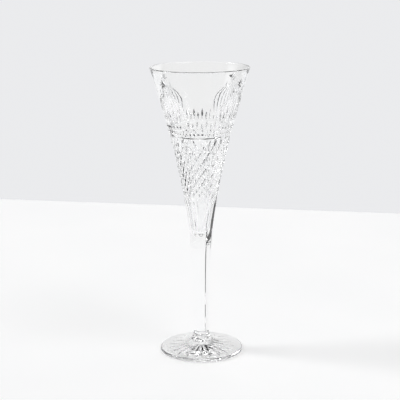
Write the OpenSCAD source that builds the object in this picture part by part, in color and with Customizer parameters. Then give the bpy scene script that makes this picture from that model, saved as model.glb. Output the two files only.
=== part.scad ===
// Champagne flute in cut crystal: a trumpet-shaped bowl with a band of raised
// diamonds, a hexagonal stem whose panels run up into the bowl, a small collar
// and a star-cut foot. Four separate gathers of glass that meet face to face.
// Axis on Z, origin at the centre of the foot's resting plane, millimetres.

/* [Overall] */
// Height from the table to the rim
glass_h = 235; // [225:1:250]
// Outer diameter of the rim
rim_d = 80; // [74:1:86]
// Outer diameter of the foot
foot_d = 68; // [64:1:76]

/* [Bowl] */
// Height of the joint between bowl and stem
joint_z = 86; // [84:1:88]
// Height of the inside bottom of the bowl
cavity_z = 97; // [96:1:100]
// Wall thickness at the rim
lip_wall = 1.7; // [1.5:0.1:2.2]
// Wall thickness of the cut part of the bowl
body_wall = 3.2; // [3:0.1:3.4]

/* [Cutting on the bowl] */
// Height where the flat stem panels run out on the bowl
panel_top_z = 137; // [136:1:139]
// Height of the lowest of the three mitre rings
ring_z = 180.2; // [179.6:0.2:181]
// Distance between neighbouring mitre rings
ring_pitch = 3.6; // [3.4:0.1:3.7]
// Depth of each mitre ring
ring_depth = 0.8; // [0.5:0.1:1]
// Diamonds around the band
diamonds = 20; // [18:2:22]
// Height of each row of diamonds as a share of the bowl's radius there
diamond_pitch = 0.232; // [0.22:0.006:0.25]
// Height of each diamond above its grooves
diamond_h = 1.4; // [0.8:0.1:1.4]
// Upright cuts in the fringe above the rings
fringe_cuts = 48; // [40:4:48]
// Angle from the middle of a plain window to the star on either side of it
star_turn = 55; // [52:1:57]
// Height of the star at the top of each spray
star_z = 223; // [221:1:224]
// Depth of the long wedge cuts
wedge_depth = 0.9; // [0.6:0.1:1]

/* [Stem and collar] */
// Width of the stem across its corners at the top
stem_top_w = 16; // [15.6:0.1:16.4]
// Width of the stem across its corners at the bottom
stem_base_w = 12.4; // [12:0.1:12.8]
// Turn of the hexagon about the axis
stem_turn = 0; // [0:5:30]
// Outer diameter of the collar
collar_d = 14; // [13.6:0.1:15]

/* [Foot] */
// Thickness of the foot at its edge
foot_edge = 2.8; // [2.6:0.1:3.2]
// Rise of the underside from the resting ring to the centre
foot_hollow = 1.4; // [1:0.1:1.6]
// Rays of the star cut in the underside
star_rays = 20; // [16:2:24]
// Depth of the star rays at their outer ends
star_depth = 1.2; // [0.8:0.1:1.3]

/* [Hidden] */
$fn = 144;

rim_r = rim_d / 2;
foot_r = foot_d / 2;
stem_top_r = stem_top_w / 2;
stem_base_r = stem_base_w / 2;
collar_r = collar_d / 2;
collar_z0 = 11.6;          // top of the foot
collar_z1 = 14.4;          // bottom of the stem
h = glass_h - joint_z;     // height of the bowl piece
ring_top = ring_z + 2 * ring_pitch;
glass_tint = [0.86, 0.90, 0.93, 0.45];
// Two plain windows face front and back, with a star on either side of each.
stars = [90 - star_turn, 90 + star_turn, 270 - star_turn, 270 + star_turn];

// Smooth curve through a table of [x, y] points, x rising.
function seg(t, x, i = 0) = i >= len(t) - 2 || x <= t[i + 1][0] ? i : seg(t, x, i + 1);
function tan_at(t, i) =
    i == 0 ? (t[1][1] - t[0][1]) / (t[1][0] - t[0][0]) :
    i == len(t) - 1 ? (t[i][1] - t[i - 1][1]) / (t[i][0] - t[i - 1][0]) :
    (t[i + 1][1] - t[i - 1][1]) / (t[i + 1][0] - t[i - 1][0]);
function curve(t, x) =
    let (i = seg(t, x), w = t[i + 1][0] - t[i][0], u = (x - t[i][0]) / w)
    t[i][1] * (2 * u ^ 3 - 3 * u ^ 2 + 1) + t[i + 1][1] * (3 * u ^ 2 - 2 * u ^ 3)
    + w * tan_at(t, i) * (u ^ 3 - 2 * u ^ 2 + u) + w * tan_at(t, i + 1) * (u ^ 3 - u ^ 2);

// Share of the flare reached at each share of the bowl's height.
flare = [[0, 0], [0.12, 0.052], [0.23, 0.125], [0.32, 0.199], [0.4, 0.271], [0.5, 0.368],
         [0.6, 0.478], [0.7, 0.6], [0.8, 0.729], [0.9, 0.862], [1, 1]];
// The same for the stem, from its bottom to its top.
swell = [[0, 0], [0.15, 0.09], [0.5, 0.27], [0.78, 0.56], [1, 1]];

function bowl_r(z) = stem_top_r + (rim_r - stem_top_r) * curve(flare, (z - joint_z) / h);
function stem_r(z) = stem_base_r
    + (stem_top_r - stem_base_r) * curve(swell, (z - collar_z1) / (joint_z - collar_z1));

// Radius of the blank before the panels are cut: proud of the corners low down,
// so that neighbouring panels meet in one crisp edge there.
panel_meet_z = 123;
function blank_r(z) = bowl_r(z)
    + (z < panel_meet_z ? 0.9 * min(1, (panel_meet_z - z) / 10) : 0);

// Distance of a flat panel from the axis. Above the height where the panels part,
// they rise out of the surface and end in arches.
function panel_r(z) = z <= panel_meet_z ? bowl_r(z) * cos(30)
    : let (u = (z - panel_meet_z) / (panel_top_z - panel_meet_z))
      bowl_r(z) * (cos(30) + (1 - cos(30)) * u * (0.6 + 0.4 * u));

// Wall thickness, measured from the corners low down, and the inside radius.
wall_curve = [[0, body_wall + 2], [0.14, body_wall + 1.5], [0.23, body_wall + 0.9], [0.33, body_wall + 0.2],
              [0.5, body_wall], [0.64, body_wall], [0.75, body_wall - 0.4], [0.93, lip_wall + 0.2], [1, lip_wall]];
cavity_top = cavity_z + 10;
function inner_r(z) = bowl_r(z) - curve(wall_curve, (z - joint_z) / h);
// Rounded pit at the inside bottom, a quarter ellipse under the straight wall.
function pit_r(a) = inner_r(cavity_top) * sin(a);
function pit_z(a) = cavity_top - (cavity_top - cavity_z) * cos(a);

// Heights of the rows of crossings in the diamond band, from the lowest ring
// down to where the panels meet. Each row is as tall as the bowl is wide there.
function rows_from(z) = z < panel_meet_z + 1 ? [] : concat([z], rows_from(z - diamond_pitch * bowl_r(z)));
rows = rows_from(ring_z);
last = len(rows) - 1;

// ---- Bowl -------------------------------------------------------------------

function groove(z) = [[blank_r(z - 1.4), z - 1.4], [blank_r(z) - ring_depth, z], [blank_r(z + 1.4), z + 1.4]];

bowl_outline = concat(
    [[0, joint_z]],
    [for (z = [joint_z : 6 : ring_z - 4]) [blank_r(z), z]],
    [for (k = [0 : 2]) each groove(ring_z + k * ring_pitch)],
    [for (z = [ring_top + 4 : 5 : glass_h - 6]) [blank_r(z), z]],
    [[rim_r, glass_h - 0.8], [rim_r - 0.18, glass_h - 0.25], [rim_r - 0.6, glass_h],
     [rim_r - lip_wall + 0.6, glass_h], [rim_r - lip_wall + 0.15, glass_h - 0.25],
     [rim_r - lip_wall - 0.1, glass_h - 0.9]],
    [for (i = [0 : 20]) let (z = glass_h - 4 - i * (glass_h - 4 - cavity_top) / 20) [inner_r(z), z]],
    [for (a = [75 : -15 : 15]) [pit_r(a), pit_z(a)]],
    [[0, cavity_z]]);

module bowl_blank() {
    rotate_extrude() polygon(bowl_outline);
}

// One flat panel's waste, outside panel_r, from below the joint to the arch.
module panel_waste() {
    rotate([90, 0, 0]) linear_extrude(height = 30, center = true)
        polygon(concat(
            [for (z = [joint_z - 6 : 6 : panel_meet_z]) [panel_r(z), z]],
            [for (i = [1 : 8]) let (z = panel_meet_z + i * (panel_top_z + 2 - panel_meet_z) / 8) [panel_r(z), z]],
            [[40, panel_top_z + 2], [40, joint_z - 6]]));
}

// One straight V cut in the surface at angle a and height z. It runs off in
// direction g, turned from straight up, and its depth goes from d0 to d1.
module vee(a, z, g, s0, d0, s1, d1, half) {
    lean = atan2(bowl_r(z + 4) - bowl_r(z - 4), 8);
    l = s1 - s0;
    rotate([0, 0, a]) translate([bowl_r(z), 0, z]) rotate([0, lean, 0]) rotate([g, 0, 0])
        translate([-d0, 0, s0]) rotate([0, atan2(d0 - d1, l), 0])
            linear_extrude(height = norm([l, d0 - d1]) + 0.03)
                polygon([[0, 0], [4, half * 4], [4, -half * 4]]);
}

// A wedge cut: it runs in from a point, is deepest past its middle and runs out.
// Three V sections on a line, the middle one lower than the two at the ends.
module wedge(a, z, g, len, deep, half = 0.95) {
    lean = atan2(bowl_r(z + 4) - bowl_r(z - 4), 8);
    up = 1.6;
    ends = [[0, 0.12], [len * 0.62, -deep], [len, 0.12]];
    pts = [for (e = ends) each [[e[1], 0, e[0]], [up, half * (up - e[1]), e[0]], [up, -half * (up - e[1]), e[0]]]];
    rotate([0, 0, a]) translate([bowl_r(z), 0, z]) rotate([0, lean, 0]) rotate([g, 0, 0])
        polyhedron(points = pts, faces = [[2, 1, 0], [6, 7, 8],
            [1, 4, 3, 0], [4, 7, 6, 3], [2, 5, 4, 1], [5, 8, 7, 4], [0, 3, 5, 2], [3, 6, 8, 5]]);
}

// Waste around the diamond band. Two families of mitre cuts spiral opposite ways,
// so its inside is a net of low four-sided pyramids: deep points where the cuts
// cross, high points halfway between them.
module diamond_waste() {
    n = 2 * diamonds;
    out = rim_r;
    function deep(k) = k == 0 ? ring_depth : k == last ? -0.4
        : k == last - 1 ? 0.4 * diamond_h : diamond_h * (0.4 + 0.6 * bowl_r(rows[k]) / bowl_r(ring_z));
    function high(k) = k == 0 ? ring_depth : k == last ? -0.4 : 0.05;
    function pt(k, j, r) = [r * cos(j * 360 / n), r * sin(j * 360 / n), rows[k]];
    net = [for (k = [0 : last]) for (j = [0 : n - 1])
        pt(k, j, bowl_r(rows[k]) - ((j + k) % 2 == 0 ? deep(k) : high(k)))];
    hoops = concat([for (j = [0 : n - 1]) pt(0, j, out)], [for (j = [0 : n - 1]) pt(last, j, out)]);
    p = n * (last + 1);   // first point of the upper outer hoop
    q = p + n;            // first point of the lower outer hoop
    function nx(j) = (j + 1) % n;
    // Between two rows each cell of the net is split along its cut.
    cells = [for (k = [0 : last - 1]) for (j = [0 : n - 1])
        let (a = k * n + j, b = k * n + nx(j), c = a + n, d = b + n)
        each ((j + k) % 2 == 0 ? [[a, d, b], [a, c, d]] : [[a, c, b], [b, c, d]])];
    top = [for (j = [0 : n - 1]) each [[j, nx(j), p + nx(j)], [j, p + nx(j), p + j]]];
    low = [for (j = [0 : n - 1]) each [[last * n + j, q + nx(j), last * n + nx(j)], [last * n + j, q + j, q + nx(j)]]];
    side = [for (j = [0 : n - 1]) each [[p + j, p + nx(j), q + nx(j)], [p + j, q + nx(j), q + j]]];
    polyhedron(points = concat(net, hoops), faces = concat(cells, top, low, side), convexity = 6);
}

// Short upright cuts all round, standing on the top ring: long and short in turn
// across the windows, and shorter still where a spray comes down to them.
module fringe() {
    for (i = [0 : fringe_cuts - 1])
        let (a = i * 360 / fringe_cuts, off = min([for (s = stars) abs((a - s + 540) % 360 - 180)]))
            vee(a, ring_top + 1.7, 0, 0, 0.75, off < 29 ? 3.2 : 7.4 + 2.6 * (i % 2), -0.12, 0.9);
}

// A star of eight short cuts with a spray of long wedge cuts falling from it.
module spray(a) {
    for (k = [0 : 7]) vee(a, star_z, k * 45, 0.2, 0.7, 4.6 - 0.8 * (k % 2), -0.1, 0.9);
    for (k = [-4 : 4]) wedge(a + k * 6.2, star_z - 8.4 + abs(k) * 0.6, 180, 21.2 - abs(k) * 1.1, wedge_depth);
}

module bowl() {
    color(glass_tint)
    difference() {
        bowl_blank();
        diamond_waste();
        for (k = [0 : 5]) rotate([0, 0, stem_turn + 30 + 60 * k]) panel_waste();
        fringe();
        for (a = stars) spray(a);
    }
}

// ---- Stem -------------------------------------------------------------------

// A slab whose two faces follow one pair of opposite panels.
module panel_slab() {
    zs = [for (i = [0 : 12]) collar_z1 + i * (joint_z - collar_z1) / 12];
    rotate([90, 0, 0]) linear_extrude(height = 30, center = true)
        polygon(concat([for (z = zs) [stem_r(z) * cos(30), z]],
                       [for (i = [12 : -1 : 0]) [-stem_r(zs[i]) * cos(30), zs[i]]]));
}

module stem() {
    color(glass_tint)
    intersection() {
        rotate([0, 0, stem_turn + 30]) panel_slab();
        rotate([0, 0, stem_turn + 90]) panel_slab();
        rotate([0, 0, stem_turn + 150]) panel_slab();
    }
}

// ---- Collar -----------------------------------------------------------------

module collar() {
    m = (collar_z0 + collar_z1) / 2;
    color(glass_tint)
    rotate_extrude()
        polygon([[0, collar_z0], [collar_r - 0.45, collar_z0], [collar_r - 0.1, collar_z0 + 0.5],
                 [collar_r, m], [collar_r - 0.1, collar_z1 - 0.5], [collar_r - 0.45, collar_z1],
                 [0, collar_z1]]);
}

// ---- Foot -------------------------------------------------------------------

// Upper face of the foot: height at each share of its radius.
rise = [[0, 1], [0.08, 0.74], [0.2, 0.5], [0.4, 0.27], [0.62, 0.13], [0.85, 0.03], [1, 0]];
top_in = collar_r + 0.2;
function foot_top(r) = foot_edge + 0.2
    + (collar_z0 - foot_edge - 0.2) * curve(rise, (r - top_in) / (foot_r - 1 - top_in));

module star_ray(a) {
    l = foot_r * 0.8;
    rotate([0, 0, a]) translate([l, 0, star_depth]) rotate([0, -90, 0])
        rotate([0, atan2(foot_hollow - star_depth * 0.9, l), 0])
            linear_extrude(height = l - 2)
                polygon([[0, 0], [-6, 7.2], [-6, -7.2]]);
}

module foot() {
    ring_in = foot_r * 0.84;
    color(glass_tint)
    difference() {
        rotate_extrude()
            polygon(concat(
                [[0, foot_hollow], [ring_in, 0], [foot_r - 1.4, 0], [foot_r - 0.4, 0.5], [foot_r, 1.4],
                 [foot_r - 0.3, foot_edge - 0.4], [foot_r - 1, foot_edge + 0.2]],
                [for (i = [1 : 14]) let (r = foot_r - 1 - (foot_r - 1 - top_in) * (i / 14) ^ 0.8) [r, foot_top(r)]],
                [[0, collar_z0]]));
        for (i = [0 : star_rays - 1]) star_ray((i + 0.5) * 360 / star_rays);
    }
}

bowl();
stem();
collar();
foot();
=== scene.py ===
import math

import bpy
import numpy as np
from mathutils import Matrix, Vector


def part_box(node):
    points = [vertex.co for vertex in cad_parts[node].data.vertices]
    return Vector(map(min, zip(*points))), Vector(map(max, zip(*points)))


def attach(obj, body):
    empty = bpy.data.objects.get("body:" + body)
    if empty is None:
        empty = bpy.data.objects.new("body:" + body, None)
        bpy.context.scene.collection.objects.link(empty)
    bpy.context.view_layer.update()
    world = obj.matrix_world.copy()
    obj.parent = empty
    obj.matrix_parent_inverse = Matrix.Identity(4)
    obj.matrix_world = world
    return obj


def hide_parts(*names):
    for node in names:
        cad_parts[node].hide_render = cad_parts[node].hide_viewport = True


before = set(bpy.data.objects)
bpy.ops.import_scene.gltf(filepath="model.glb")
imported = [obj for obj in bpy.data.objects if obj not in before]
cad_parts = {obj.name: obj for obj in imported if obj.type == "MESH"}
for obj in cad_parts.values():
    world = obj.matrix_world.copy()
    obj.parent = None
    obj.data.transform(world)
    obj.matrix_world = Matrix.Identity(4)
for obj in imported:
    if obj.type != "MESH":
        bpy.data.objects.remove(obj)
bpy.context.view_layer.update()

# ---------------------------------------------------------------- sizes (mm)
# Everything is worked out in millimetres and made in metres. The CAD boxes give
# the heights where one gather of glass meets the next, and the widest radii.
MM = 0.001


def box_mm(node):
    lo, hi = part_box(node)
    return np.array(lo) / MM, np.array(hi) / MM


b_lo, b_hi = box_mm("bowl")
s_lo, s_hi = box_mm("stem")
c_lo, c_hi = box_mm("collar")
f_lo, f_hi = box_mm("foot")

GLASS_H = float(b_hi[2])
JOINT_Z = float(b_lo[2])
RIM_R = float(b_hi[0])
COLLAR_Z0, COLLAR_Z1 = float(c_lo[2]), float(c_hi[2])
COLLAR_R = float(c_hi[0])
FOOT_R = float(f_hi[0])
STEM_TOP_R = float(s_hi[0])
STEM_BASE_R = 6.2
CAVITY_Z = 97.0
LIP_WALL = 1.7
BODY_WALL = 3.2
PANEL_MEET_Z = 123.0
PANEL_TOP_Z = 137.0
RING_Z, RING_PITCH, RING_DEPTH = 180.2, 3.6, 0.85
DIAMONDS, DIAMOND_H, DIAMOND_PITCH = 20, 1.45, 0.232
H = GLASS_H - JOINT_Z
C30 = math.cos(math.radians(30))

FLARE = [[0, 0], [0.12, 0.052], [0.23, 0.125], [0.32, 0.199], [0.4, 0.271], [0.5, 0.368],
         [0.6, 0.478], [0.7, 0.6], [0.8, 0.729], [0.9, 0.862], [1, 1]]
SWELL = [[0, 0], [0.15, 0.09], [0.5, 0.27], [0.78, 0.56], [1, 1]]
WALL = [[0, BODY_WALL + 2], [0.14, BODY_WALL + 1.5], [0.23, BODY_WALL + 0.9], [0.33, BODY_WALL + 0.2],
        [0.5, BODY_WALL], [0.64, BODY_WALL], [0.75, BODY_WALL - 0.4], [0.93, LIP_WALL + 0.2], [1, LIP_WALL]]
RISE = [[0, 1], [0.08, 0.74], [0.2, 0.5], [0.4, 0.27], [0.62, 0.13], [0.85, 0.03], [1, 0]]


def curve(table, x):
    """Smooth curve through a table of points, the same rule as the CAD's."""
    t = np.asarray(table, float)
    x = np.asarray(x, float)
    X, Y = t[:, 0], t[:, 1]
    d = np.empty(len(X))
    d[0] = (Y[1] - Y[0]) / (X[1] - X[0])
    d[-1] = (Y[-1] - Y[-2]) / (X[-1] - X[-2])
    d[1:-1] = (Y[2:] - Y[:-2]) / (X[2:] - X[:-2])
    i = np.clip(np.searchsorted(X, x, side="left") - 1, 0, len(X) - 2)
    w = X[i + 1] - X[i]
    u = (x - X[i]) / w
    return (Y[i] * (2 * u**3 - 3 * u**2 + 1) + Y[i + 1] * (3 * u**2 - 2 * u**3)
            + w * d[i] * (u**3 - 2 * u**2 + u) + w * d[i + 1] * (u**3 - u**2))


def bowl_r(z):
    return STEM_TOP_R + (RIM_R - STEM_TOP_R) * curve(FLARE, (np.asarray(z, float) - JOINT_Z) / H)


def stem_r(z):
    return STEM_BASE_R + (STEM_TOP_R - STEM_BASE_R) * curve(
        SWELL, (np.asarray(z, float) - COLLAR_Z1) / (JOINT_Z - COLLAR_Z1))


def blank_r(z):
    z = np.asarray(z, float)
    return bowl_r(z) + np.where(z < PANEL_MEET_Z, 0.9 * np.minimum(1, (PANEL_MEET_Z - z) / 10), 0)


def panel_r(z):
    z = np.asarray(z, float)
    u = np.clip((z - PANEL_MEET_Z) / (PANEL_TOP_Z - PANEL_MEET_Z), 0, None)
    return bowl_r(z) * (C30 + (1 - C30) * u * (0.6 + 0.4 * u))


def inner_r(z):
    return bowl_r(z) - curve(WALL, (np.asarray(z, float) - JOINT_Z) / H)


# ---------------------------------------------------------------- mesh tools
def make_object(name, verts, faces, scale=1.0):
    me = bpy.data.meshes.new(name)
    me.from_pydata((np.asarray(verts, float) * scale).tolist(), [], [list(map(int, f)) for f in faces])
    me.update()
    ob = bpy.data.objects.new(name, me)
    bpy.context.scene.collection.objects.link(ob)
    return ob


def outward(verts, faces):
    """Turns a closed mesh's faces outward."""
    v = np.asarray(verts, float)
    vol = 0.0
    for f in faces:
        a = v[f[0]]
        for i in range(1, len(f) - 1):
            vol += float(np.dot(a, np.cross(v[f[i]], v[f[i + 1]])))
    return faces if vol > 0 else [list(reversed(f)) for f in faces]


def revolve(outline, n):
    """A closed solid from an outline that starts and ends on the axis."""
    verts, faces, rings = [], [], []
    ang = np.arange(n) * 2 * math.pi / n
    for r, z in outline:
        if r < 1e-9:
            rings.append([len(verts)])
            verts.append((0, 0, z))
        else:
            rings.append(list(range(len(verts), len(verts) + n)))
            verts.extend(zip(r * np.cos(ang), r * np.sin(ang), np.full(n, z)))
    for a, b in zip(rings[:-1], rings[1:]):
        for j in range(n):
            k = (j + 1) % n
            if len(a) == 1 and len(b) == 1:
                continue
            if len(a) == 1:
                faces.append([a[0], b[k], b[j]])
            elif len(b) == 1:
                faces.append([a[j], a[k], b[0]])
            else:
                faces.append([a[j], a[k], b[k], b[j]])
    return verts, outward(verts, faces)


def joined(parts):
    verts, faces = [], []
    for v, f in parts:
        base = len(verts)
        verts.extend([tuple(p) for p in v])
        faces.extend([[i + base for i in g] for g in f])
    return verts, faces


def sweep_v(points, normals, depth, half_deg, rise=1.6):
    """A V blade swept along a path on a surface: its edge runs depth under the
    path, and its two flanks open outwards at half_deg from the normal."""
    P, N = np.asarray(points, float), np.asarray(normals, float)
    T = np.gradient(P, axis=0)
    T /= np.linalg.norm(T, axis=1, keepdims=True)
    N = N - (N * T).sum(1, keepdims=True) * T
    N /= np.linalg.norm(N, axis=1, keepdims=True)
    B = np.cross(T, N)
    d = np.asarray(depth, float)[:, None]
    w = (rise + d) * math.tan(math.radians(half_deg))
    E = P - N * d
    L, R = P + N * rise + B * w, P + N * rise - B * w
    verts = np.stack([E, L, R], 1).reshape(-1, 3)
    faces = [[0, 1, 2], [3 * len(P) - 3, 3 * len(P) - 1, 3 * len(P) - 2]]
    for i in range(len(P) - 1):
        a, b = 3 * i, 3 * i + 3
        faces += [[a, b, b + 1, a + 1], [a + 1, b + 1, b + 2, a + 2], [a + 2, b + 2, b, a]]
    return verts, outward(verts, faces)


def cut(ob, parts, name):
    """Takes a set of separate closed cutters off ob."""
    v, f = joined(parts)
    tool = make_object(name, v, f)
    m = ob.modifiers.new(name, "BOOLEAN")
    m.operation = "DIFFERENCE"
    m.solver = "MANIFOLD"
    m.object = tool
    dg = bpy.context.evaluated_depsgraph_get()
    me = bpy.data.meshes.new_from_object(ob.evaluated_get(dg))
    old = ob.data
    ob.modifiers.clear()
    ob.data = me
    bpy.data.meshes.remove(old)
    bpy.data.objects.remove(tool)


def surface_normal(phi, z, radius=bowl_r):
    s = (radius(z + 0.5) - radius(z - 0.5))
    c = 1 / np.sqrt(1 + s * s)
    return np.stack([np.cos(phi) * c, np.sin(phi) * c, -s * c + 0 * phi], -1)


def on_bowl(phi_deg, z0, g_deg, s):
    """Points a distance s along a line drawn on the bowl from (phi, z0), turned
    g from straight up, and the surface normals there."""
    lean = math.atan(float(bowl_r(z0 + 4) - bowl_r(z0 - 4)) / 8)
    z = z0 + s * math.cos(math.radians(g_deg)) * math.cos(lean)
    phi = math.radians(phi_deg) + s * math.sin(math.radians(g_deg)) / bowl_r(z)
    r = bowl_r(z)
    return np.stack([r * np.cos(phi), r * np.sin(phi), z], -1), surface_normal(phi, z)


def leaf(phi_deg, z0, g_deg, s0, s1, deep, half_deg, peak=0.5, n=14):
    """A cut that runs in and out between s0 and s1, deepest at share peak."""
    u = np.linspace(-0.04, 1.04, n)
    s = s0 + (s1 - s0) * u
    shape = np.where(u < peak, 1 - ((peak - u) / peak) ** 2, 1 - ((u - peak) / (1 - peak)) ** 2)
    P, N = on_bowl(phi_deg, z0, g_deg, s)
    return sweep_v(P, N, deep * shape, half_deg)


def plume(phi_deg, z0, k, n=22):
    """Long cut k of the spray under a star: it spreads from the star and then falls
    straight down the bowl."""
    u = np.linspace(-0.03, 1.03, n)
    c = np.clip(u, 0, 1)
    top, low = z0 - 5.0 - 0.5 * abs(k), z0 - 30.6 + 0.5 * abs(k)
    z = top + (low - top) * u
    phi = np.radians(phi_deg + 6.5 * k * (0.36 + 0.64 * np.sin(np.minimum(1, c / 0.6) * math.pi / 2)))
    r = bowl_r(z)
    P = np.stack([r * np.cos(phi), r * np.sin(phi), z], -1)
    peak = 0.58
    shape = np.where(u < peak, 1 - ((peak - u) / peak) ** 2, 1 - ((u - peak) / (1 - peak)) ** 2)
    return sweep_v(P, surface_normal(phi, z), 1.05 * shape, 50)


# ---------------------------------------------------------------- smooth normals
def facet_normals(ob, outline=None, smooth_deg=12.0):
    """Custom normals for cut glass. Faces on the turned surface get the normals of
    the true round, facets of a cut get their own, and joins under smooth_deg blend."""
    me = ob.data
    nf, nl = len(me.polygons), len(me.loops)
    co = np.empty(len(me.vertices) * 3)
    me.vertices.foreach_get("co", co)
    co = co.reshape(-1, 3)
    lv = np.empty(nl, np.int64)
    me.loops.foreach_get("vertex_index", lv)
    start = np.empty(nf, np.int64)
    count = np.empty(nf, np.int64)
    me.polygons.foreach_get("loop_start", start)
    me.polygons.foreach_get("loop_total", count)
    lf = np.repeat(np.arange(nf), count)
    order = np.concatenate([np.arange(s, s + c) for s, c in zip(start, count)]) if nf else []
    face_of = np.empty(nl, np.int64)
    face_of[order] = lf
    nrm = np.empty(nf * 3)
    me.polygons.foreach_get("normal", nrm)
    nrm = nrm.reshape(-1, 3)
    area = np.empty(nf)
    me.polygons.foreach_get("area", area)
    cen = np.empty(nf * 3)
    me.polygons.foreach_get("center", cen)
    cen = cen.reshape(-1, 3)
    turned = np.zeros(nf, bool)
    if outline is not None:
        line = np.asarray(outline, float)
        a, b = line[:-1], line[1:]
        ab = b - a
        L2 = (ab**2).sum(1)

        def off(p):
            q = np.stack([np.hypot(p[:, 0], p[:, 1]), p[:, 2]], -1)
            best = np.full(len(q), 1e9)
            for i in range(len(a)):
                t = np.clip(((q - a[i]) @ ab[i]) / L2[i], 0, 1)
                e = q - (a[i] + t[:, None] * ab[i])
                best = np.minimum(best, (e**2).sum(1))
            return np.sqrt(best)

        near = off(co) < 0.012
        all_near = np.ones(nf, bool)
        np.logical_and.at(all_near, face_of, near[lv])
        turned = all_near & (off(cen) < 0.012)
    # the normal in the face's own radial frame
    phi = np.arctan2(cen[:, 1], cen[:, 0])
    own = nrm.copy()
    cr, sr = np.cos(phi), np.sin(phi)
    rad = np.stack([nrm[:, 0] * cr + nrm[:, 1] * sr, np.zeros(nf), nrm[:, 2]], -1)
    rad /= np.maximum(np.linalg.norm(rad, axis=1, keepdims=True), 1e-12)
    own[turned] = rad[turned]
    # every pair of loops that share a vertex
    by = np.argsort(lv, kind="stable")
    vs = lv[by]
    first = np.searchsorted(vs, vs, side="left")
    last = np.searchsorted(vs, vs, side="right")
    deg = last - first
    i = np.repeat(np.arange(nl), deg)
    j = np.repeat(first, deg) + (np.arange(deg.sum()) - np.repeat(np.cumsum(deg) - deg, deg))
    fi, fj = face_of[by[i]], face_of[by[j]]
    keep = (turned[fi] == turned[fj]) & ((own[fi] * own[fj]).sum(1) > math.cos(math.radians(smooth_deg)))
    acc = np.zeros((nl, 3))
    w = np.maximum(area[fj], 1e-9)
    for k in range(3):
        acc[:, k] = np.bincount(i[keep], weights=(own[fj[keep], k] * w[keep]), minlength=nl)
    loop_n = np.empty((nl, 3))
    loop_n[by] = acc
    loop_n /= np.maximum(np.linalg.norm(loop_n, axis=1, keepdims=True), 1e-12)
    t = turned[face_of]
    pv = np.arctan2(co[lv, 1], co[lv, 0])
    at_axis = np.hypot(co[lv, 0], co[lv, 1]) < 1e-6
    pv = np.where(at_axis, phi[face_of], pv)
    turned_n = np.stack([loop_n[:, 0] * np.cos(pv), loop_n[:, 0] * np.sin(pv), loop_n[:, 2]], -1)
    loop_n[t] = turned_n[t]
    me.polygons.foreach_set("use_smooth", np.ones(nf, bool))
    me.normals_split_custom_set(loop_n.tolist())
    return turned


def to_metres(ob):
    """Scales the mesh from millimetres, keeping its custom normals."""
    me = ob.data
    n = np.empty(len(me.loops) * 3, np.float32)
    me.corner_normals.foreach_get("vector", n)
    me.transform(Matrix.Scale(MM, 4))
    me.normals_split_custom_set(n.reshape(-1, 3).tolist())
    me.update()


def tidy(ob):
    """Welds points that a cut left on top of each other and drops what collapsed."""
    import bmesh
    bm = bmesh.new()
    bm.from_mesh(ob.data)
    bmesh.ops.remove_doubles(bm, verts=bm.verts, dist=2e-4)
    bmesh.ops.dissolve_degenerate(bm, dist=1e-4, edges=bm.edges)
    bm.to_mesh(ob.data)
    bm.free()


# ---------------------------------------------------------------- bowl
def arc(r0, z0, r, a0, a1, n):
    t = np.radians(np.linspace(a0, a1, n))
    return [(r0 + r * math.cos(x), z0 + r * math.sin(x)) for x in t]


def bowl_outline():
    top = RING_Z + 2 * RING_PITCH
    out = [(0.0, JOINT_Z)]
    out += [(float(blank_r(z)), float(z)) for z in np.linspace(JOINT_Z, PANEL_MEET_Z, 20)]
    out += [(float(bowl_r(z)), float(z)) for z in np.linspace(PANEL_MEET_Z, RING_Z - 1.45, 16)[1:-1]]
    for k in range(3):
        z = RING_Z + k * RING_PITCH
        out += [(float(bowl_r(z - 1.45)), z - 1.45), (float(bowl_r(z)) - RING_DEPTH, z),
                (float(bowl_r(z + 1.45)), z + 1.45)]
    out += [(float(bowl_r(z)), float(z)) for z in np.linspace(top + 1.45, GLASS_H - 0.62, 40)[1:-1]]
    out += arc(RIM_R - 0.6, GLASS_H - 0.6, 0.6, -8, 90, 7)
    ri = RIM_R - LIP_WALL
    out += arc(ri + 0.6, GLASS_H - 0.6, 0.6, 90, 190, 7)
    cav_top = CAVITY_Z + 10
    out += [(float(inner_r(z)), float(z)) for z in np.linspace(GLASS_H - 2.0, cav_top, 56)]
    r0 = float(inner_r(cav_top))
    out += [(r0 * math.sin(a), cav_top - (cav_top - CAVITY_Z) * math.cos(a))
            for a in np.radians(np.linspace(90, 0, 15)[1:-1])]
    out += [(0.0, CAVITY_Z)]
    return out


def panel_waste(k):
    """What is ground off the blank to make flat panel k and its arch."""
    z = np.concatenate([np.linspace(JOINT_Z - 4, PANEL_MEET_Z, 32), np.linspace(PANEL_MEET_Z, PANEL_TOP_Z + 2, 14)[1:]])
    prof = [(float(panel_r(max(q, JOINT_Z - 4))), float(q)) for q in z] + [(40.0, PANEL_TOP_Z + 2), (40.0, JOINT_Z - 4)]
    n = len(prof)
    a = math.radians(30 + 60 * k)
    ex, ey = np.array([math.cos(a), math.sin(a), 0]), np.array([-math.sin(a), math.cos(a), 0])
    verts = [ex * r + ey * s * 11.0 + np.array([0, 0, q]) for s in (-1, 1) for r, q in prof]
    faces = [list(range(n)), list(range(2 * n - 1, n - 1, -1))]
    faces += [[i, i + n, (i + 1) % n + n, (i + 1) % n] for i in range(n)]
    return verts, outward(verts, faces)


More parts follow.
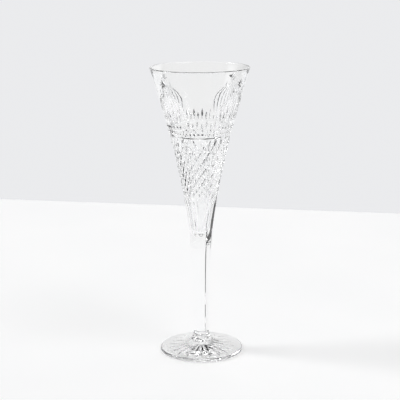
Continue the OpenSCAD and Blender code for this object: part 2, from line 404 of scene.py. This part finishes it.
def diamond_waste():
    """What two families of mitre cuts take off: the inside is a net of pyramids."""
    n = 2 * DIAMONDS
    rows = []
    z = RING_Z
    while z >= PANEL_MEET_Z + 1:
        rows.append(z)
        z -= DIAMOND_PITCH * float(bowl_r(z))
    last = len(rows) - 1
    verts = []
    for k, z in enumerate(rows):
        share = 0.4 + 0.6 * float(bowl_r(z)) / float(bowl_r(RING_Z))
        deep = RING_DEPTH if k == 0 else -0.4 if k == last else DIAMOND_H * (0.4 if k == last - 1 else share)
        high = RING_DEPTH if k == 0 else -0.4 if k == last else 0.04
        for j in range(n):
            r = float(bowl_r(z)) - (deep if (j + k) % 2 == 0 else high)
            a = j * 2 * math.pi / n
            verts.append((r * math.cos(a), r * math.sin(a), z))
    p = len(verts)
    out = RIM_R
    for z in (rows[0], rows[-1]):
        verts += [(out * math.cos(j * 2 * math.pi / n), out * math.sin(j * 2 * math.pi / n), z) for j in range(n)]
    q = p + n
    faces = []
    for k in range(last):
        for j in range(n):
            m = (j + 1) % n
            a, b, c, d = k * n + j, k * n + m, (k + 1) * n + j, (k + 1) * n + m
            faces += [[a, d, b], [a, c, d]] if (j + k) % 2 == 0 else [[a, c, b], [b, c, d]]
    for j in range(n):
        m = (j + 1) % n
        faces += [[j, m, p + m], [j, p + m, p + j]]
        faces += [[last * n + j, q + m, last * n + m], [last * n + j, q + j, q + m]]
        faces += [[p + j, p + m, q + m], [p + j, q + m, q + j]]
    return verts, outward(verts, faces)


def build_bowl():
    outline = bowl_outline()
    v, f = revolve(outline, 240)
    ob = make_object("bowl_glass", v, f)
    cut(ob, [diamond_waste()], "diamonds")
    cut(ob, [panel_waste(0), panel_waste(3)], "panels_a")
    cut(ob, [panel_waste(1), panel_waste(4)], "panels_b")
    cut(ob, [panel_waste(2), panel_waste(5)], "panels_c")
    # short upright cuts standing on the top ring, long and short in turn across the
    # windows, and shorter still where a spray comes down to them
    stars = [35, 145, 215, 325]
    zf = RING_Z + 2 * RING_PITCH + 1.0

    def upright(i):
        a = i * 7.5
        off = min(abs((a - q + 540) % 360 - 180) for q in stars)
        return leaf(a, zf, 0, 0.0, 3.4 if off < 29 else 8.6 if i % 2 else 5.8, 0.8 if off < 29 else 0.9, 46, peak=0.4)

    cut(ob, [upright(i) for i in range(0, 48, 2)], "fringe_a")
    cut(ob, [upright(i) for i in range(1, 48, 2)], "fringe_b")
    # four stars, two each side of two plain windows, with long cuts raining from each
    star_z = 223.0
    for k in range(4):
        long = k % 2 == 0
        cut(ob, [leaf(a, star_z, 45 * k, -5.2 if long else -4.2, 5.2 if long else 4.2, 0.85, 48, n=12)
                 for a in stars], "star")
    for k in range(-4, 5):
        cut(ob, [plume(a, star_z, k) for a in stars], "plume")
    # a row of short olives under the star, between the heads of the long cuts
    for k in (-3, -1, 1, 3):
        cut(ob, [leaf(a + k * 3.3, star_z - 7.5 + 0.45 * abs(k), 0, -2.6, 2.6, 0.6, 52, n=10) for a in stars], "olive")
    return ob, outline


bowl_ob, bowl_line = build_bowl()


# ---------------------------------------------------------------- stem
def build_stem():
    zs = np.linspace(COLLAR_Z1, JOINT_Z, 60)
    verts, faces = [], []
    for z in zs:
        r = float(stem_r(z))
        for k in range(6):
            a = math.radians(60 * k)
            verts.append((r * math.cos(a), r * math.sin(a), float(z)))
    for i in range(len(zs) - 1):
        for k in range(6):
            m = (k + 1) % 6
            faces.append([6 * i + k, 6 * i + m, 6 * i + 6 + m, 6 * i + 6 + k])
    n = len(zs) - 1
    faces += [[0, 1, 2, 3, 4, 5], [6 * n + k for k in range(6)]]
    return make_object("stem_glass", verts, fix_caps(verts, faces))


def fix_caps(verts, faces):
    """Orients each face of a convex, upright solid away from the axis."""
    out = []
    v = np.asarray(verts, float)
    for f in faces:
        p = v[f]
        n = np.cross(p[1] - p[0], p[2] - p[0])
        c = p.mean(0)
        flat = np.ptp(p[:, 2]) < 1e-6
        ref = np.array([0, 0, 1.0 if c[2] > v[:, 2].mean() else -1.0]) if flat else np.array([c[0], c[1], 0])
        out.append(f if n @ ref > 0 else list(reversed(f)))
    return out


stem_ob = build_stem()


# ---------------------------------------------------------------- collar
def build_collar():
    m = (COLLAR_Z0 + COLLAR_Z1) / 2
    hh = (COLLAR_Z1 - COLLAR_Z0) / 2
    line = [(0.0, COLLAR_Z0)]
    t = np.radians(np.linspace(-80, 80, 17))
    line += [(COLLAR_R - 0.75 + 0.75 * math.cos(x), m + hh * math.sin(x) / math.sin(math.radians(80))) for x in t]
    line += [(0.0, COLLAR_Z1)]
    v, f = revolve(line, 160)
    return make_object("collar_glass", v, f), line


collar_ob, collar_line = build_collar()


# ---------------------------------------------------------------- foot
FOOT_EDGE, FOOT_HOLLOW, STAR_RAYS = 2.8, 1.4, 20


def build_foot():
    top_in = COLLAR_R + 0.2
    edge_z = FOOT_EDGE + 0.2

    def top(r):
        return edge_z + (COLLAR_Z0 - edge_z) * curve(RISE, (r - top_in) / (FOOT_R - 1 - top_in))

    ring_in = FOOT_R * 0.84
    line = [(0.0, FOOT_HOLLOW)]
    line += [(ring_in * q, FOOT_HOLLOW * (1 - q)) for q in np.linspace(0, 1, 12)[1:]]
    line += [(FOOT_R - 1.4, 0.0)]
    line += [(FOOT_R - 1.4 + 1.4 * math.sin(a), 1.4 - 1.4 * math.cos(a)) for a in np.radians(np.linspace(0, 90, 9)[1:])]
    line += [(FOOT_R - 1.0 + 1.0 * math.cos(a), 1.6 + 1.4 * math.sin(a)) for a in np.radians(np.linspace(0, 84, 9))]
    rs = FOOT_R - 1.0 - (FOOT_R - 1.0 - top_in) * np.linspace(0.01, 1, 44) ** 0.9
    line += [(float(r), float(top(r))) for r in rs]
    line += [(0.0, COLLAR_Z0)]
    v, f = revolve(line, 240)
    ob = make_object("foot_glass", v, f)
    n = np.array([0, 0, -1.0])
    rays = []
    for i in range(STAR_RAYS):
        a = (i + 0.5) * 2 * math.pi / STAR_RAYS
        e = np.array([math.cos(a), math.sin(a), 0])
        r = np.linspace(1.2, 28.4, 22)
        z = FOOT_HOLLOW * (1 - r / ring_in)
        u = (r - 1.2) / 27.2
        d = 1.55 * np.where(u < 0.8, u / 0.8, 1 - ((u - 0.8) / 0.2) ** 2) - 0.02
        P = e[None] * r[:, None] + np.array([0, 0, 1.0])[None] * z[:, None]
        rays.append(sweep_v(P, np.repeat(n[None], len(r), 0), d, 58, rise=1.2))
    cut(ob, rays[0::2], "rays_a")
    cut(ob, rays[1::2], "rays_b")
    return ob, line


foot_ob, foot_line = build_foot()

for ob, line in ((bowl_ob, bowl_line), (foot_ob, foot_line)):
    tidy(ob)
for ob, line in ((bowl_ob, bowl_line), (foot_ob, foot_line), (collar_ob, collar_line), (stem_ob, None)):
    facet_normals(ob, line)
    to_metres(ob)


# ---------------------------------------------------------------- materials
def glass(name, seed, scuff=False):
    """Clear crystal: faint cords and waves of hand-worked glass, a trace of wiping
    marks, and on the foot a fine scuffed ring where it stands."""
    mat = bpy.data.materials.new(name)
    mat.use_nodes = True
    nt = mat.node_tree
    nt.nodes.clear()
    add, link = nt.nodes.new, nt.links.new
    out = add("ShaderNodeOutputMaterial")
    p = add("ShaderNodeBsdfPrincipled")
    p.inputs["Transmission Weight"].default_value = 1.0
    p.inputs["IOR"].default_value = 1.54
    link(p.outputs["BSDF"], out.inputs["Surface"])
    co = add("ShaderNodeTexCoord")
    place = add("ShaderNodeMapping")
    place.inputs["Location"].default_value = (0.13 * seed, 0.07 * seed, 0.29 * seed)
    link(co.outputs["Object"], place.inputs["Vector"])

    def noise(scale, detail, stretch=None):
        n = add("ShaderNodeTexNoise")
        n.inputs["Scale"].default_value = scale
        n.inputs["Detail"].default_value = detail
        src = place
        if stretch:
            src = add("ShaderNodeMapping")
            src.inputs["Scale"].default_value = stretch
            link(place.outputs["Vector"], src.inputs["Vector"])
        link(src.outputs["Vector"], n.inputs["Vector"])
        return n.outputs["Fac"]

    def ramp(fac, stops):
        r = add("ShaderNodeValToRGB")
        e = r.color_ramp.elements
        e[0].position, e[0].color = stops[0][0], (*stops[0][1], 1)
        e[1].position, e[1].color = stops[-1][0], (*stops[-1][1], 1)
        for q, c in stops[1:-1]:
            m = e.new(q)
            m.color = (*c, 1)
        link(fac, r.inputs["Fac"])
        return r.outputs["Color"]

    def maths(op, a, b):
        m = add("ShaderNodeMath")
        m.operation = op
        for k, v in enumerate((a, b)):
            if isinstance(v, (int, float)):
                m.inputs[k].default_value = v
            else:
                link(v, m.inputs[k])
        return m.outputs[0]

    # cords: long faint streaks of slightly different glass, drawn along the axis
    cords = noise(120, 2, (1, 1, 0.12))
    link(ramp(cords, [(0.3, (0.991, 0.995, 0.999)), (0.5, (0.998, 0.999, 1.0)), (0.7, (0.992, 0.997, 0.997))]),
         p.inputs["Base Color"])
    # polish: almost none, with a few softer patches left by wiping
    wipes = ramp(noise(85, 4, (1, 1, 0.5)), [(0.5, (0.0, 0.0, 0.0)), (0.64, (0.006, 0.006, 0.006)), (0.8, (0.016, 0.016, 0.016))])
    rough = wipes
    if scuff:
        xyz = add("ShaderNodeSeparateXYZ")
        link(co.outputs["Object"], xyz.inputs["Vector"])
        low = add("ShaderNodeMapRange")
        low.inputs["From Min"].default_value = 0.00035
        low.inputs["From Max"].default_value = 0.00005
        link(xyz.outputs["Z"], low.inputs["Value"])
        specks = ramp(noise(1800, 3), [(0.42, (0.03, 0.03, 0.03)), (0.7, (0.4, 0.4, 0.4))])
        rough = maths("ADD", rough, maths("MULTIPLY", low.outputs["Result"], specks))
    link(rough, p.inputs["Roughness"])
    # waves: slow unevenness of the hand-worked wall, and the wheel's fine ripple
    waves = maths("ADD", noise(55, 1.5), maths("MULTIPLY", noise(420, 1), 0.05))
    bump = add("ShaderNodeBump")
    bump.inputs["Strength"].default_value = 1.0
    bump.inputs["Distance"].default_value = 0.00022
    link(waves, bump.inputs["Height"])
    link(bump.outputs["Normal"], p.inputs["Normal"])
    return mat


def fused(name):
    """The face where two gathers are fused: glass on both sides, so it isn't seen."""
    mat = bpy.data.materials.new(name)
    mat.use_nodes = True
    p = mat.node_tree.nodes["Principled BSDF"]
    p.inputs["Base Color"].default_value = (1, 1, 1, 1)
    p.inputs["Alpha"].default_value = 0.0
    return mat


joint_mat = fused("fused_joint")
pieces = [(bowl_ob, "bowl", "bowl_crystal", 1), (stem_ob, "stem", "stem_crystal", 2),
          (collar_ob, "collar", "collar_crystal", 3), (foot_ob, "foot", "foot_crystal", 4)]
planes = [JOINT_Z, COLLAR_Z1, COLLAR_Z0]
for ob, node, slot, seed in pieces:
    me = ob.data
    me.materials.clear()
    me.materials.append(glass(slot, seed, scuff=node == "foot"))
    me.materials.append(joint_mat)
    for poly in me.polygons:
        c, n = poly.center, poly.normal
        if abs(n.z) > 0.999 and any(abs(c.z - q * MM) < 2e-6 for q in planes):
            poly.material_index = 1
    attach(ob, "root")
    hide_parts(node)

# ---------------------------------------------------------------- stage
FLOOR_GLOW = 0.49


def stage_floor():
    s, a = 0.515, math.radians(-14)
    pts = [(x * s, y * s) for x, y in ((-1, -1), (1, -1), (1, 1), (-1, 1))]
    v = [(x * math.cos(a) - y * math.sin(a), x * math.sin(a) + y * math.cos(a), -0.0002) for x, y in pts]
    ob = make_object("floor", v, [[0, 1, 2, 3]])
    # a matt white sheet, faintly mottled, with a little light of its own from below
    mat = bpy.data.materials.new("floor_white")
    mat.use_nodes = True
    nt = mat.node_tree
    p = nt.nodes["Principled BSDF"]
    co, n = nt.nodes.new("ShaderNodeTexCoord"), nt.nodes.new("ShaderNodeTexNoise")
    n.inputs["Scale"].default_value = 9.0
    n.inputs["Detail"].default_value = 3.0
    nt.links.new(co.outputs["Object"], n.inputs["Vector"])
    r = nt.nodes.new("ShaderNodeValToRGB")
    r.color_ramp.elements[0].position, r.color_ramp.elements[0].color = 0.35, (0.86, 0.865, 0.87, 1)
    r.color_ramp.elements[1].position, r.color_ramp.elements[1].color = 0.65, (0.9, 0.9, 0.9, 1)
    nt.links.new(n.outputs["Fac"], r.inputs["Fac"])
    nt.links.new(r.outputs["Color"], p.inputs["Base Color"])
    p.inputs["Roughness"].default_value = 0.85
    p.inputs["Specular IOR Level"].default_value = 0.2
    p.inputs["Emission Color"].default_value = (1, 1, 1, 1)
    p.inputs["Emission Strength"].default_value = FLOOR_GLOW
    ob.data.materials.append(mat)
    return ob


floor = stage_floor()

def studio():
    """A pale room with a darker ceiling and dark cards at the sides, so that the cuts
    show, and soft lamps. The camera itself sees only the pale wall."""
    w = bpy.data.worlds.new("studio")
    bpy.context.scene.world = w
    w.use_nodes = True
    nt = w.node_tree
    add, link = nt.nodes.new, nt.links.new
    bg = nt.nodes["Background"]
    co = add("ShaderNodeTexCoord")

    def soft(fac, lo, hi):
        r = add("ShaderNodeMapRange")
        r.interpolation_type = "SMOOTHSTEP"
        r.inputs["From Min"].default_value, r.inputs["From Max"].default_value = lo, hi
        link(fac, r.inputs["Value"])
        return r.outputs["Result"]

    def mix(fac, a, b):
        m = add("ShaderNodeMix")
        m.data_type = "RGBA"
        link(fac, m.inputs["Factor"])
        for v, k in ((a, "A"), (b, "B")):
            socket = [q for q in m.inputs if q.name == k and q.type == "RGBA"][0]
            if isinstance(v, tuple):
                socket.default_value = (*v, 1)
            else:
                link(v, socket)
        return [q for q in m.outputs if q.type == "RGBA"][0]

    xyz = add("ShaderNodeSeparateXYZ")
    link(co.outputs["Generated"], xyz.inputs["Vector"])
    col = mix(soft(xyz.outputs["Z"], *CEILING[:2]), WALL_TONE, CEILING[2])
    for az, el, inner, outer, tone in CARDS:
        d = add("ShaderNodeVectorMath")
        d.operation = "DOT_PRODUCT"
        a, e = math.radians(az), math.radians(el)
        d.inputs[1].default_value = (math.cos(a) * math.cos(e), math.sin(a) * math.cos(e), math.sin(e))
        link(co.outputs["Generated"], d.inputs[0])
        col = mix(soft(d.outputs["Value"], math.cos(math.radians(outer)), math.cos(math.radians(inner))), col, (tone,) * 3)
    path = add("ShaderNodeLightPath")
    link(mix(path.outputs["Is Camera Ray"], col, WALL_SEEN), bg.inputs["Color"])
    for i, (az, el, angle, power) in enumerate(SUNS):
        sun = bpy.data.lights.new(f"lamp_{i}", "SUN")
        sun.angle, sun.energy = math.radians(angle), power
        ob = bpy.data.objects.new(f"lamp_{i}", sun)
        bpy.context.scene.collection.objects.link(ob)
        a, e = math.radians(az), math.radians(el)
        d = Vector((math.cos(a) * math.cos(e), math.sin(a) * math.cos(e), math.sin(e)))
        ob.rotation_euler = d.to_track_quat("Z", "Y").to_euler()


WALL_TONE = (0.93, 0.935, 0.95)
WALL_SEEN = (0.83, 0.835, 0.85)
CEILING = (0.0, 0.08, (0.018, 0.018, 0.022))
# azimuth, elevation, inner and outer angle, tone
CARDS = [(86, 4, 15, 22, 0.93), (86, 26, 14, 21, 0.93), (180, 4, 15, 22, 0.93), (140, 5, 16, 22, 0.015),
         (48, 18, 24, 34, 0.93), (232, 0, 20, 28, 0.015)]
# azimuth, elevation, angle across, strength
SUNS = [(170, 42, 22, 1.15), (320, 55, 30, 0.55)]
studio()

# ---------------------------------------------------------------- camera
def camera():
    d, h, f_px = 933.6, 338.5, 1180.6
    pitch, yaw, roll, az = math.radians(12.77), math.radians(0.03), math.radians(0.35), math.radians(-3.4)
    cam = bpy.data.cameras.new("camera")
    cam.sensor_width = 36
    cam.lens = f_px / 400 * 36
    ob = bpy.data.objects.new("camera", cam)
    bpy.context.scene.collection.objects.link(ob)
    cp, sp = math.cos(pitch), math.sin(pitch)
    fwd, right, up = Vector((0, cp, -sp)), Vector((1, 0, 0)), Vector((0, sp, cp))
    right, up = right * math.cos(roll) - up * math.sin(roll), right * math.sin(roll) + up * math.cos(roll)
    m = Matrix((right, up, -fwd)).transposed().to_4x4()
    m = Matrix.Rotation(yaw, 4, "Z") @ m
    m.translation = Vector((0, -d * MM, h * MM))
    ob.matrix_world = Matrix.Rotation(az, 4, "Z") @ m
    cam.clip_start, cam.clip_end = 0.05, 20
    bpy.context.scene.camera = ob


camera()

scn = bpy.context.scene
scn.view_settings.view_transform = "Standard"
scn.cycles.max_bounces = 32
scn.cycles.transmission_bounces = 32
scn.cycles.glossy_bounces = 12
scn.cycles.transparent_max_bounces = 16
